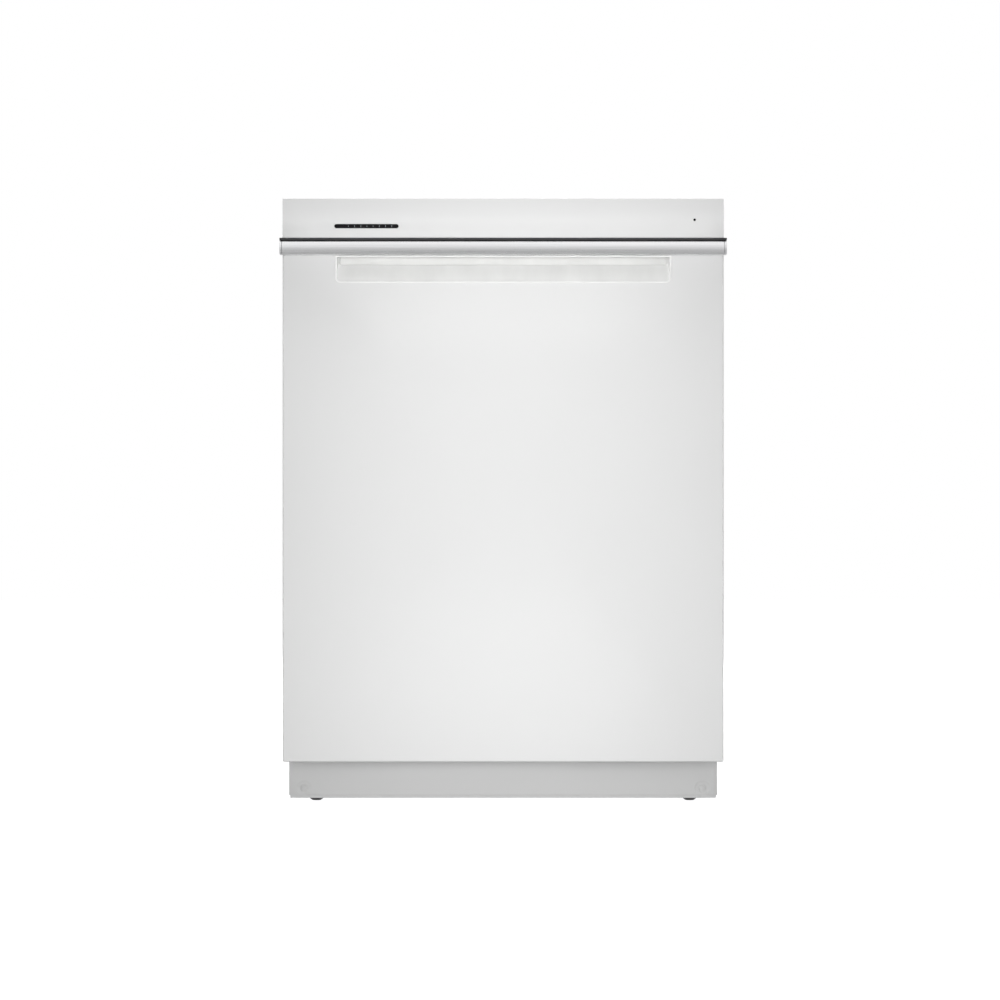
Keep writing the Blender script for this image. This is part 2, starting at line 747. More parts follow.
FIRST_MARK, MARK_PITCH, MARK_HALF = 19.2, 8.5, 0.32
marks = Shape()
for k in range(8):
    x = window_lo.x + FIRST_MARK + MARK_PITCH * k
    tall = 0.9 if k in (0, 3, 4) else 1.5
    middle = (window_lo.z + window_hi.z) / 2
    tick = rounded((x - MARK_HALF, middle - tall), (x + MARK_HALF, middle + tall), 0.3, 3)
    marks.prism(tick, window_lo.y - 0.21, window_lo.y - 0.1, "xz")
rides_with(marks.object("window_marks", MARK), "display_window")

lens_lo, lens_hi = node_box("status_lens")
lens_radius = (lens_hi.x - lens_lo.x) / 2
dome = [(0, lens_hi.y), (lens_radius, lens_hi.y), (lens_radius, lens_lo.y + 0.3)]
dome += [(lens_radius * math.cos(t), lens_lo.y + 0.3 - 0.3 * math.sin(t)) for t in (0.35, 0.7, 1.05)]
dome.append((0, lens_lo.y))
lens_at = ((lens_lo.x + lens_hi.x) / 2, 0, (lens_lo.z + lens_hi.z) / 2)
stands_for(Shape().lathe(dome, lens_at, "Y", 32).object("status_dome", WINDOW, sharp=50), "status_lens")

for label in ("power", "cycle", "options", "start"):
    refined(f"button_{label}", WHITE_PLASTIC, 0.7, 3)
    lo, hi = node_box(f"button_{label}")
    dot_at = ((lo.x + hi.x) / 2 + 8, (lo.y + hi.y) / 2, hi.z)
    dot = Shape().lathe([(0, -0.2), (0.9, -0.2), (0.9, 0.05), (0.7, 0.12), (0, 0.12)], dot_at)
    rides_with(dot.object(f"button_mark_{label}", MARK), f"button_{label}")

# ---------------------------------------------------------------- door: inside

liner_lo, liner_hi = node_box("door_inner_panel")
LINER = liner_hi.y
dispenser_lo, dispenser_hi = node_box("detergent_dispenser")

liner = pan("door_liner", liner_lo, liner_hi, STEEL_Z, ["-y", "-z"], 3.0, 0.8, steps=4)
HINGE_INNER, HINGE_TOP = 262, 100  # edges of the notches for the hinge arms
LATCH_HALF, LATCH_LOW = 14, 817  # half the width of the latch's notch, and its lower edge
low_y, low_z = liner_lo.y - 2, liner_lo.z - 2
for sign in SIDES.values():
    xs = sorted((sign * HINGE_INNER, sign * (liner_hi.x + 1)))
    carve(liner, Shape().block((xs[0], low_y, low_z), (xs[1], LINER + 1, HINGE_TOP)))
carve(liner, Shape().block((-LATCH_HALF, low_y, LATCH_LOW), (LATCH_HALF, LINER + 1, liner_hi.z + 1)))
cover = Vector((4, 0, 4))  # how far the dispenser's flange reaches past the opening
low, high = dispenser_lo + cover, dispenser_hi - cover
carve(liner, Shape().block((low.x, LINER - 3, low.z), (high.x, LINER + 1, high.z)))
stands_for(liner, "door_inner_panel")


def bead_loop(lo, hi, radius, width, height):
    """A pressed bead round a rectangle on the liner's face."""
    corners = [(lo[0], LINER, lo[1]), (hi[0], LINER, lo[1]), (hi[0], LINER, hi[1]), (lo[0], LINER, hi[1])]
    return carried(bent(corners, radius, 8, closed=True), bead(width, height), (0, 1, 0), closed=True)


beads = Shape()
beads.rings(bead_loop((-266, 116), (266, 802), 30, 12, 2.2), closed=True)
for low, high in ((560, 775), (140, 300)):
    beads.rings(bead_loop((-240, low), (240, high), 26, 9, 1.8), closed=True)
rides_with(beads.object("liner_beads", STEEL_Z, sharp=50), "door_inner_panel")

refined("door_latch", DARK, 0.6)
refined("detergent_dispenser", LIGHT_GREY, 0.8)
refined("dispenser_lid", LIGHT_GREY, 0.9)
refined("rinse_aid_cap", DARK, 0.5)

detail = Shape()
front = dispenser_hi.y
for k in range(5):
    x = dispenser_hi.x - 74 + 11 * k
    detail.block((x, front - 0.6, dispenser_hi.z - 62), (x + 5, front + 0.9, dispenser_hi.z - 28))
cap_at = (dispenser_lo.x + 112, front, dispenser_lo.z + 150)
detail.lathe([(12, -0.6), (14, -0.6), (14, 0.9), (12, 0.9)], cap_at, "Y", 40)
rides_with(detail.object("dispenser_ribs", LIGHT_GREY, bevel=0.4), "detergent_dispenser")

liner_screws = Shape()
for sign in SIDES.values():
    for z in (120, 300, 480, 660, 800):
        screw_head(liner_screws, (sign * (liner_hi.x + 0.1), LINER - 13, z), (sign, 0, 0), 3.4, 1.6)
rides_with(liner_screws.object("liner_screws", BRIGHT), "door_inner_panel")

# ---------------------------------------------------------------- hinges

for side, sign in SIDES.items():
    refined(f"hinge_arm_{side}", ZINC, 0.5)
    pin_lo, pin_hi = node_box(f"hinge_pin_{side}")
    at = (0, (pin_lo.y + pin_hi.y) / 2, (pin_lo.z + pin_hi.z) / 2)
    r = (pin_hi.y - pin_lo.y) / 2
    inner, outer = sorted((abs(pin_lo.x), abs(pin_hi.x)))
    profile = [(0, inner), (r - 0.5, inner), (r, inner + 0.5), (r, outer - 1.7), (r + 1.6, outer - 1.6)]
    profile += [(r + 1.6, outer - 0.5), (r + 1.1, outer), (0, outer)]
    pin = Shape().lathe([(a, sign * b) for a, b in profile], at, "X", 32)
    stands_for(pin.object(f"hinge_rivet_{side}", BRIGHT), f"hinge_pin_{side}")

    spring_lo, spring_hi = node_box(f"hinge_spring_{side}")
    near, far = sorted((abs(spring_lo.x), abs(spring_hi.x)))
    thick, turns, steps = 1.8, 5, 100
    coil = (spring_hi.z - spring_lo.z) / 2 - thick
    first, last = sign * (near + thick), sign * (far - thick)
    path = [(first, at[1] + coil, at[2] + 34), (first, at[1] + coil, at[2] + 8)]
    for k in range(steps + 1):
        turn = 2 * math.pi * turns * k / steps
        x = first + (last - first) * k / steps
        path.append((x, at[1] + coil * math.cos(turn), at[2] + coil * math.sin(turn)))
    path += [(last, at[1] + coil, at[2] - 9), (last, at[1] + coil, at[2] - 14)]
    spring = Shape().wire(path, thick, 10).object(f"torsion_spring_{side}", BRIGHT, sharp=60)
    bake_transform(spring)
    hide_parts(f"hinge_spring_{side}")

# ---------------------------------------------------------------- tub

SHEET = 0.8
flange_lo, tub_hi = node_box("tub")
TUB_HALF, TUB_FLOOR, TUB_ROOF, TUB_BACK = 274, 98, 806, tub_hi.y - SHEET
TUB_CORNER = 14
CENTRE_Y = node_centre("sump").y

tub_low = (-TUB_HALF - SHEET, flange_lo.y, TUB_FLOOR - SHEET)
tub_high = (TUB_HALF + SHEET, tub_hi.y, TUB_ROOF + SHEET)
tub = pan("tub_shell", tub_low, tub_high, STEEL_Y, ["-y"], TUB_CORNER, SHEET, steps=6)
WELL = 92  # radius of the opening for the sump
well = [(0, TUB_FLOOR - 5), (WELL, TUB_FLOOR - 5), (WELL, TUB_FLOOR + 5), (0, TUB_FLOOR + 5)]
carve(tub, Shape().lathe(well, (0, CENTRE_Y, 0), segments=96))
stands_for(tub, "tub")

outer = rounded((flange_lo.x, flange_lo.z), (tub_hi.x, tub_hi.z), 6, 8)
inner = rounded((-TUB_HALF, TUB_FLOOR), (TUB_HALF, TUB_ROOF), TUB_CORNER, 8)
flange = Shape().frame(outer, inner, flange_lo.y, flange_lo.y + 1.6)
rides_with(flange.object("tub_flange", STEEL_X, bevel=0.4), "tub")

ribs = Shape()
for sign in SIDES.values():
    for y in (-120, -10, 100, 210):
        ribs.swept([(sign * TUB_HALF, y, z) for z in (190, 300, 420, 520)], bead(26, 1.6), (-sign, 0, 0))
    ledge = [(249.5, 97.9), (251, 104.4), (253, 105.7), (273.9, 105.7), (273.9, 97.9)]
    ribs.prism([(sign * x, z) for x, z in ledge], flange_lo.y + 6, 270, "xz")
for x in (-190, -110, 110, 190):
    ribs.swept([(x, TUB_BACK, z) for z in (170, 300, 420, 520)], bead(30, 1.6), (0, -1, 0))
for x in (-160, 0, 160):
    ribs.swept([(x, y, TUB_ROOF) for y in (-140, 0, 120, 230)], bead(60, 1.8), (0, 0, -1))
lip = [(WELL, -2), (WELL + 3, -1), (WELL + 4, 0.7), (WELL + 1.5, 1.3), (WELL - 0.3, 0.6)]
ribs.lathe(lip, (0, CENTRE_Y, TUB_FLOOR), segments=96)
rides_with(ribs.object("tub_ribs", STEEL_Y, sharp=50), "tub")

seal_lo, seal_hi = node_box("tub_gasket")
left, right, deep = seal_lo.x + 5.2, seal_hi.x - 5.2, seal_hi.y - seal_lo.y
seal_corners = [(left, seal_lo.z), (left, seal_hi.z - 4.2), (right, seal_hi.z - 4.2), (right, seal_lo.z)]
seal_path = bent([(x, seal_hi.y, z) for x, z in seal_corners], 22, 10)
seal_profile = [(3.9, 0), (3.9, 1.6), (2.6, 2.0), (2.6, 2.8), (3.8, 3.4)]
seal_profile += arc((0, deep - 3.9), 3.9, 0, 180, 12)
seal_profile += [(-3.8, 3.4), (-2.6, 2.8), (-2.6, 2.0), (-3.9, 1.6), (-3.9, 0)]
seal = Shape().swept(seal_path, seal_profile, (0, -1, 0))
stands_for(seal.object("door_seal", SEAL, sharp=40), "tub_gasket")

for side in SIDES:
    refined(f"rack_rail_{side}", STEEL_Y, 0.6)
    refined(f"mounting_bracket_{side}", ZINC, 0.4, 2)
refined("latch_strike", ZINC, 0.4, 2)

# ---------------------------------------------------------------- sound blanket

blanket_lo, blanket_hi = node_box("sound_blanket")
BLANKET_WALL = 2.2
CORNER = 16  # radius of the blanket's rear corners
ROLL = 12  # radius of its upper edge


def blanket_loop(grow, share, height, steps=26):
    """An open loop from the left front round the back to the right front, shrunk by share to the front."""
    half, back = blanket_hi.x - grow, blanket_hi.y - grow
    front, turn = blanket_lo.y, back - CORNER
    line = [(-half, front + (turn - front) * k / steps) for k in range(steps)]
    line += arc((-half + CORNER, turn), CORNER, 180, 90, 5)
    line += [(-half + CORNER + 2 * (half - CORNER) * k / steps, back) for k in range(1, steps)]
    line += arc((half - CORNER, turn), CORNER, 90, 0, 5)
    line += [(half, turn - (turn - front) * k / steps) for k in range(1, steps + 1)]
    return [(x * share, front + (y - front) * share, height) for x, y in line]


def quilting(p):
    """How far the felt is pressed in: long seams both ways, and small waves between them."""
    pitch = 118
    seams = min(abs((p.x + p.y + 40) % pitch - pitch / 2), abs((p.z - 20) % pitch - pitch / 2))
    waves = math.sin(p.x * 0.061 + p.z * 0.043) * math.sin(p.y * 0.057 - p.z * 0.071 + p.x * 0.02)
    return 2.6 * math.exp(-((seams / 9) ** 2)) + 1.2 * (waves * 0.5 + 0.5)


def blanket():
    roof = blanket_hi.z - ROLL
    loops = [blanket_loop(0, 1, blanket_lo.z + (roof - blanket_lo.z) * k / 34) for k in range(35)]
    for t in (math.radians(turn) for turn in (25, 50, 75)):
        loops.append(blanket_loop(ROLL * (1 - math.cos(t)), 1, roof + ROLL * math.sin(t)))
    loops += [blanket_loop(ROLL, 1 - 0.985 * k / 26, blanket_hi.z) for k in range(27)]
    shape = Shape()
    shape.skin(loops, around=False)
    bm = shape.bm
    bmesh.ops.recalc_face_normals(bm, faces=bm.faces)
    bm.normal_update()
    middle = Vector((0, 50, 400))
    outward = 1 if sum(f.normal.dot(f.calc_center_median() - middle) for f in bm.faces) > 0 else -1
    moves = [(v, v.normal * outward * quilting(v.co)) for v in bm.verts]
    for v, step in moves:
        v.co -= step
    return walled(made_object("felt_blanket", shape.mesh("felt_blanket"), FELT), BLANKET_WALL, -outward, 60)


felt = stands_for(blanket(), "sound_blanket")

studs = Shape()
stud = [(0, 2.6), (4, 2.4), (7.5, 1.4), (9, 0.2), (9, -0.6), (0, -0.6)]
for sign in SIDES.values():
    for y in (-150, 40, 230):
        for z in (180, 480, 760):
            studs.lathe([(r, sign * h) for r, h in stud], (sign * (blanket_hi.x - 2.4), y, z), "X", 32)
rides_with(studs.object("blanket_studs", DARK), "sound_blanket")

# ---------------------------------------------------------------- base frame

base_lo, base_hi = node_box("base_frame")
refined("base_frame", ZINC, 0.45, 2, name="base_sheet")
pressed = Shape()
top = base_lo.z + 1.5
for y in (-150, -90, 120, 190, 250):
    pressed.swept([(x, y, top) for x in (-225, -80, 80, 225)], bead(16, 2.6), (0, 0, 1))
for sign in SIDES.values():
    for z in (36, 66):
        pressed.swept([(sign * 293, y, z) for y in (-150, 0, 120, 240)], bead(12, 1.8), (-sign, 0, 0))
for z in (34, 70):
    pressed.swept([(x, base_hi.y - 1.5, z) for x in (-180, 0, 160, 260)], bead(12, 1.8), (0, -1, 0))
rides_with(pressed.object("base_beads", ZINC, sharp=50), "base_frame")

fixings = Shape()
for sign in SIDES.values():
    for y, z in ((-205, 300), (-205, 520), (-205, 740), (-130, 80), (60, 80), (250, 80)):
        screw_head(fixings, (sign * (base_hi.x - 0.4), y, z), (sign, 0, 0), 3.6, 0.9)
rides_with(fixings.object("frame_screws", BRIGHT), "base_frame")

grommet = [(11.4, -2.6), (13, -2.6), (14.6, -1.9), (14.6, -1.3), (13, -0.2), (11.4, -0.2)]
grommet = Shape().lathe(grommet, (-230, base_hi.y, 48), "Y")
rides_with(grommet.object("hose_grommet", SEAL), "base_frame")

# ---------------------------------------------------------------- sump, filters, pumps

bowl = [(0, 42), (80, 42), (88, 44.5), (91.5, 51), (91.5, 66), (90.4, 67), (90.4, 70), (91.5, 71)]
bowl += [(91.5, 97.5), (89, 97.5), (89, 52), (86, 47), (79, 45), (14.5, 45), (13, 47), (13, 84)]
bowl += [(12, 85), (12, 88), (13, 89), (13, 116), (11.5, 118), (5, 118.6), (5, 144.5), (4, 146), (0, 146)]
at = (0, CENTRE_Y, 0)
shape = Shape().lathe(bowl, at, segments=96)
shape.blocks(circle(8, math.pi / 8), (14, -1.2, 44.5), (52, 1.2, 52), at)
stands_for(shape.object("sump_bowl", GREY, bevel=0.3, sharp=50), "sump")
refined("coarse_filter", SCREEN, 0.5, 2)
outer_ring = [(84, 98.3), (88.4, 98.3), (88.4, 99.0), (86, 99.4), (84, 99.0)]
filter_ring = Shape().lathe(outer_ring, at, segments=96)
filter_ring.lathe([(13.9, 98.3), (18, 98.3), (17, 99.4), (14.6, 99.4)], at, segments=64)
spokes = circle(6, math.radians(8))[1:]  # the place of the first is left free
filter_ring.blocks(spokes, (17, -1.6, 98.2), (85, 1.6, 99.2), at)
rides_with(filter_ring.object("coarse_filter_frame", STEEL_X, bevel=0.2), "coarse_filter")

cup_lo, cup_hi = node_box("fine_filter")
cup_at = ((cup_lo.x + cup_hi.x) / 2, (cup_lo.y + cup_hi.y) / 2, 0)
cup_r = (cup_hi.x - cup_lo.x) / 2
frame_rings = Shape()
for low, high, wall in ((52, 56, 2.6), (76, 79, 2.0), (98, 104, 2.6)):
    edge = cup_r - 0.4
    ring = [(cup_r - wall, low), (edge, low), (cup_r, low + 0.4), (cup_r, high - 0.4), (edge, high)]
    frame_rings.lathe(ring + [(cup_r - wall, high)], cup_at, segments=64)
frame_rings.lathe([(0, 52), (cup_r - 1, 52), (cup_r - 1, 54.4), (0, 54.4)], cup_at, segments=64)
frame_rings.blocks(circle(8), (cup_r - 2.4, -1.4, 54), (cup_r - 0.3, 1.4, 100), cup_at)
grip = [(cup_r - 1, 99), (cup_r - 1, 105), (cup_r - 6, 112), (8, 113)]
grip += [(-a, b) for a, b in reversed(grip)]
frame_rings.prism([(cup_at[0] + a, b) for a, b in grip], cup_at[1] - 3.6, cup_at[1] + 3.6, "xz")
for k in range(5):
    x = cup_at[0] - 14 + 7 * k
    frame_rings.block((x - 0.8, cup_at[1] - 4, 102), (x + 0.8, cup_at[1] + 4, 110))
stands_for(frame_rings.object("fine_filter_frame", GREY, bevel=0.5), "fine_filter")
gauze = [(cup_r - 1.9, 55), (cup_r - 1.3, 55), (cup_r - 1.3, 99), (cup_r - 1.9, 99)]
gauze = Shape().lathe(gauze, cup_at, segments=64)
rides_with(gauze.object("fine_filter_gauze", SCREEN), "fine_filter")


def motor(name, node, body, stator, at, inner, outer, fins=9):
    """A pump's motor along X, from inner to outer: a finned can with an iron stator."""
    way = 1 if outer > inner else -1
    can = [(0, outer), (body - 5, outer), (body - 1.5, outer - way * 1.5), (body, outer - way * 5)]
    start = outer - way * 9
    step = (inner - outer + way * 14) / fins
    for k in range(fins):
        a = start + step * k
        can += [(body, a), (body, a + step * 0.55)]
        can += [(body - 1.4, a + step * 0.62), (body - 1.4, a + step * 0.95)]
    can += [(body, inner + way * 3), (body, inner), (0, inner)]
    stands_for(Shape().lathe(can, at, "X", 56).object(name, DARK, bevel=0.2, sharp=50), node)
    low, high = stator
    band = [(body - 3, low), (body - 0.2, low), (body - 0.05, low + way)]
    band += [(body - 0.05, high - way), (body - 0.2, high), (body - 3, high)]
    rides_with(Shape().lathe(band, at, "X", 56).object(name + "_stator", ZINC, sharp=50), node)


pump_at = (0, CENTRE_Y, 54)
motor("wash_motor", "wash_pump", 36, (-200, -160), pump_at, -122, node_box("wash_pump")[0].x)
case = [(0, -123), (36, -123), (38, -121), (38, -113), (36.5, -112), (36.5, -109), (38, -108), (38, -101)]
volute = Shape().lathe(case + [(36, -98), (0, -98)], pump_at, "X", 64)
neck = [(0, -98.5), (14, -98.5), (14, -96.6), (12.6, -96), (12.6, -94.4), (14, -93.8), (14, -92), (0, -92)]
volute.lathe(neck, (0, CENTRE_Y, 62), "X", 40)
boss = [(0, -98.4), (3.4, -98.4), (3.4, -96), (2.9, -95.4), (0, -95.4)]
BOSS_CIRCLE = 32.5  # radius of the circle of screw bosses
for y, z in arc(pump_at[1:], BOSS_CIRCLE, 30, 330, 5):
    volute.lathe(boss, (0, y, z), "X", 20)
rides_with(volute.object("wash_volute", GREY, bevel=0.2, sharp=50), "wash_pump")
mount = Shape().block((-215, CENTRE_Y - 14, 14), (-150, CENTRE_Y + 14, 19))
for x in (-212, -159):
    mount.block((x, CENTRE_Y - 10, 18), (x + 6, CENTRE_Y + 10, 26))
rides_with(mount.object("wash_pump_mount", SEAL, bevel=1.0), "wash_pump")

drain_at = (0, CENTRE_Y, 60)
motor("drain_motor", "drain_pump", 21, (140, 160), drain_at, 125.5, node_box("drain_pump")[1].x)
head = [(0, 92), (25, 92), (27, 94), (27, 103), (25.6, 104), (25.6, 107), (27, 108), (27, 122)]
housing = Shape().lathe(head + [(25, 126), (0, 126)], drain_at, "X", 56)
spout = [(0, 20), (10, 20), (10, 30)]
for k in range(4):
    spout += [(8.6, 31 + 6.5 * k), (10, 36 + 6.5 * k)]
spout += [(8.4, 57), (8, 58), (0, 58)]
housing.lathe(spout, (108, *drain_at[1:]), "Y", 40)
rides_with(housing.object("drain_housing", GREY, bevel=0.2, sharp=50), "drain_pump")

valve = Shape().block((-286, -164, 14), (-246, -132, 22)).block((-282, -160, 21), (-250, -136, 40))
for k in range(5):
    valve.block((-283.5, -161.5, 23 + 4 * k), (-248.5, -134.5, 25 + 4 * k))
VALVE_X, VALVE_Y, PORT_Z = -266, -148, 30
valve.lathe([(0, 40), (9, 40), (9, 44.5), (8, 46), (0, 46)], (VALVE_X, VALVE_Y, 0), segments=40)
inlet = [(0, -136), (9, -136)]
for k in range(8):
    inlet += [(9, -134 + 2.6 * k), (8.1, -133 + 2.6 * k)]
inlet += [(9, -112.6), (8.4, -112), (5.4, -112), (5.4, -130), (0, -130)]
valve.lathe(inlet, (VALVE_X, 0, PORT_Z), "Y", 40)
outlet = [(0, -252), (7, -252), (7, -246)]
for x in (-245, -240, -235):
    outlet += [(5.6, x), (7, x + 3.5)]
outlet = outlet[:-1] + [(5.6, -232), (3.6, -232), (3.6, -248), (0, -248)]
valve.lathe(outlet, (0, VALVE_Y, PORT_Z), "X", 36)
stands_for(valve.object("solenoid_valve", VALVE_PLASTIC, bevel=0.5), "inlet_valve")
tabs = Shape()
for x in (-277, -257):
    tabs.block((x, -163.8, 38), (x + 1, -150, 45.6))
rides_with(tabs.object("valve_terminals", BRIGHT, bevel=0.15), "inlet_valve")

casing = Shape().block((240, -163, 14), (288, -96, 57.2)).block((241.5, -164, 15.5), (286.5, -162.9, 56))
casing.prism(rounded((239.99, 14), (288, 58), 0.01, 1)[:4], -158, -157, "xz")
boxed = casing.object("wiring_box", ZINC, bevel=0.6)
entry = (264, 0, 36)  # where the mains cable would come in
carve(boxed, Shape().lathe([(0, -101), (8, -101), (8, -90), (0, -90)], entry, "Y"))
stands_for(boxed, "junction_box")
trims = [(7.2, -97.4), (8.6, -97.4), (10.4, -96.8), (10.4, -96.1), (7.2, -96.1)]
trims = Shape().lathe(trims, entry, "Y")
rides_with(trims.object("wiring_grommet", SEAL), "junction_box")

HEATER_Z, HEATER, GAP = 112, 200, 9.2  # the loop's height and radius, and half of its opening in degrees
FOOT_X = 32  # where the heater's ends go down through the tub's floor
front = CENTRE_Y - HEATER
path = [(-FOOT_X, front, 98.9), (-FOOT_X, front, 107)]
path += [(x, y, HEATER_Z) for x, y in arc((0, CENTRE_Y), HEATER, -90 - GAP, GAP - 450, 120)]
path += [(FOOT_X, front, 107), (FOOT_X, front, 98.9)]
heater = Shape().wire(path, 4, 16)
for sign in SIDES.values():
    foot = (sign * FOOT_X, front, 0)
    heater.prism(hexagon(foot, 7.5), 98.9, 103.5, "xy")
    heater.lathe([(0, 98.7), (9.5, 98.7), (9.5, 99.6), (0, 99.6)], foot, segments=32)
for x, y in arc((0, CENTRE_Y), HEATER, 0, 180, 2):
    heater.block((x - 4, y - 5.4, 98.2), (x + 4, y + 5.4, 100))
    for side_y in (y - 5.4, y + 4.4):
        heater.block((x - 4, side_y, 98.2), (x + 4, side_y + 1, 113))
stands_for(heater.object("heater_loop", BRIGHT, sharp=50), "heating_element")

column = [(0, 98.4), (9, 98.4), (9, 104), (7.6, 105.5), (7.6, 250), (8.6, 251), (8.6, 255), (7.6, 256)]
column += [(7.6, 430), (9, 434), (9, 478), (7, 480), (0, 480)]
riser = Shape().lathe(column, (0, 279, 0), segments=36)
riser.prism(rounded((-14, 440), (14, 478), 5, 5), 280, 289.6, "xz")
nozzle = [(0, 262), (5.4, 262), (7, 263.6), (7, 266), (6.2, 266.6), (6.2, 269), (7, 269.6), (7, 276)]
riser.lathe(nozzle + [(0, 276)], (0, 0, 470), "Y", 36)
for z in (180, 330):
    riser.block((-12, 281, z - 6), (12, 289.6, z + 6))
stands_for(riser.object("riser_pipe", GREY, bevel=0.5, sharp=50), "feed_tube")

# ---------------------------------------------------------------- spray arms


def blade_section(x, reach):
    """One section of a spray arm at x: a flat oval, wide at the hub and rounded at the tip."""
    share = min(abs(x) / reach, 1)
    width = 25.5 - 10.5 * share**0.8
    tip = max(0, (abs(x) - (reach - 15)) / 15)
    width *= math.sqrt(max(0.003, 1 - tip * tip))
    tall = 5.6 * (1 - 0.25 * share) * (1 - 0.35 * tip**3)
    lean = 1.6 * share
    ring = []
    for t in circle(28):
        c, s = math.cos(t), math.sin(t)
        a = math.copysign(abs(c) ** 0.62, c) * width
        b = math.copysign(abs(s) ** 0.8, s) * tall
        ring.append((x, a, 10 + b - lean * 0.3))
    return ring


def spray_arm(node, name, material):
    lo, hi = node_box(node)
    reach = (hi.x - lo.x) / 2
    tall = hi.z - lo.z
    span, steps = reach - 0.02, 90
    shape = Shape().rings([blade_section(span * (2 * k / steps - 1), reach) for k in range(steps + 1)])
    hub = [(5.5, 0), (20.5, 0), (22, 1.5), (22, 4), (19, 6), (19, tall - 5)]
    hub += [(17, tall - 2.5), (12, tall - 1.2), (11, tall), (5.5, tall)]
    shape.lathe(hub, segments=64)
    jet = [(1.5, 13.6), (4.2, 13.9), (3.6, 15.6), (2.6, 16.0), (1.5, 15.7)]
    for sign in SIDES.values():
        for k, y in enumerate((7, -8, 4, -5, 6, -3)):
            shape.lathe(jet, (sign * (40 + (reach - 62) * k / 5), y * sign, 0), segments=20)
        spine = [(sign * x, 0, 14.6) for x in (24, 60, 100, reach - 30)]
        shape.swept(spine, bead(3.4, 1.2, 1.5, 5), (0, 0, 1))
    shape.blocks(circle(8), (11.5, -0.8, tall - 3), (18.2, 0.8, tall - 1.4))
    shape.move(Matrix.Translation(((lo.x + hi.x) / 2, (lo.y + hi.y) / 2, lo.z)))
    return stands_for(shape.object(name, material, sharp=40), node)


spray_arm("lower_spray_arm", "lower_arm_blades", GREY)
spray_arm("upper_spray_arm", "upper_arm_blades", GREY)

# ---------------------------------------------------------------- racks

WIRE, RIM_WIRE = 1.5, 2.4


def wire_rack(shape, half, front, back, bottom, top, across, along, mid):
    """The welded cage of a rack: a rim, belts, and U-shaped wires both ways.

    across and along are the counts of wires that run those ways, and mid holds the belts' heights.
    """
    # each loop's height, wire radius, distance in from the rack's sides, and corner radius
    loops = [(top - RIM_WIRE, RIM_WIRE, RIM_WIRE, 20), (bottom + 2, 1.9, 5, 14)]
    loops[1:1] = [(z, 1.8, 1.8, 18) for z in mid]
    for z, r, inset, corner in loops:
        x, y0, y1 = half - inset, front + inset, back - inset
        loop = bent([(-x, y0, z), (x, y0, z), (x, y1, z), (-x, y1, z)], corner, 8, closed=True)
        shape.wire(loop, r, 10, closed=True)
    low, high = bottom + WIRE + 0.1, top - 3
    inset, end = 2 * RIM_WIRE - 0.6, 22  # how far the wires' uprights and the outermost wires stand in
    x = half - inset
    for k in range(across):
        y = front + end + (back - front - 2 * end) * k / (across - 1)
        shape.wire(bent([(-x, y, high), (-x, y, low), (x, y, low), (x, y, high)], 12, 6), WIRE, 8)
    y0, y1 = front + inset, back - inset
    for k in range(along):
        x = -half + end + 2 * (half - end) * k / (along - 1)
        shape.wire(bent([(x, y0, high), (x, y0, low), (x, y1, low), (x, y1, high)], 12, 6), WIRE, 8)
    return shape


def tine(shape, x, y, floor, height, lean):
    """A rod with a round coated tip, standing on the rack's floor and leaning to the front."""
    top = floor + height
    shape.wire([(x, y, floor), (x, y - lean / 2, (floor + top) / 2), (x, y - lean, top)], WIRE, 8)
    tip = [(0, -1.5), (1.9, -1.2), (2.2, 0), (1.9, 1.2), (0.9, 1.9), (0, 2.1)]
    shape.lathe(tip, (x, y - lean, top), segments=10)


lower_lo, lower_hi = node_box("lower_rack")
LOWER = {"half": 246, "front": lower_lo.y, "back": lower_hi.y, "bottom": 152, "top": lower_hi.z}
basket_lo, basket_hi = node_box("cutlery_basket")
rack = wire_rack(Shape(), **LOWER, across=13, along=13, mid=(LOWER["top"] - 52, LOWER["top"] - 98))
floor_z = LOWER["bottom"] + WIRE
for row, x in enumerate((-205, -150, -88, -33, 30, 84)):
    for k in range(12):
        tine(rack, x, LOWER["front"] + 40 + 34.5 * k, floor_z, 88 if row < 4 else 66, 5)
    rack.wire([(x, LOWER["front"] + 6, floor_z), (x, LOWER["back"] - 6, floor_z)], WIRE, 8)
for k in range(5):
    tine(rack, 128, LOWER["front"] + 290 + 34 * k, floor_z, 60, 5)
stands_for(rack.object("lower_rack_wires", RACK_COAT, sharp=60), "lower_rack")

fittings = Shape()
wheel_z = node_centre("rack_wheel_front_left").z
axle = [(0, 244), (6, 244), (6, 249), (3.4, 250), (3.4, 264.6), (5.2, 264.8), (5.2, 265.6)]
axle += [(4.4, 266), (0, 266)]
for sign in SIDES.values():
    for end in ("front", "rear"):
        y = node_centre(f"rack_wheel_{end}_left").y
        under = arc((y, wheel_z), 8, 200, 340, 10)
        outline = [(y - 9, 160), (y - 9, 132), *under, (y + 9, 132), (y + 9, 160)]
        fittings.prism(outline, *sorted((sign * 241, sign * 246)), "yz")
        fittings.lathe([(r, sign * h) for r, h in axle], (0, y, wheel_z), "X", 28)
handle = rounded((-70, LOWER["top"] - 26), (70, LOWER["top"] - 1), 8, 6)
fittings.prism(handle, LOWER["front"] + 0.2, LOWER["front"] + 6, "xz")
rides_with(fittings.object("lower_rack_fittings", GREY, bevel=0.6), "lower_rack")

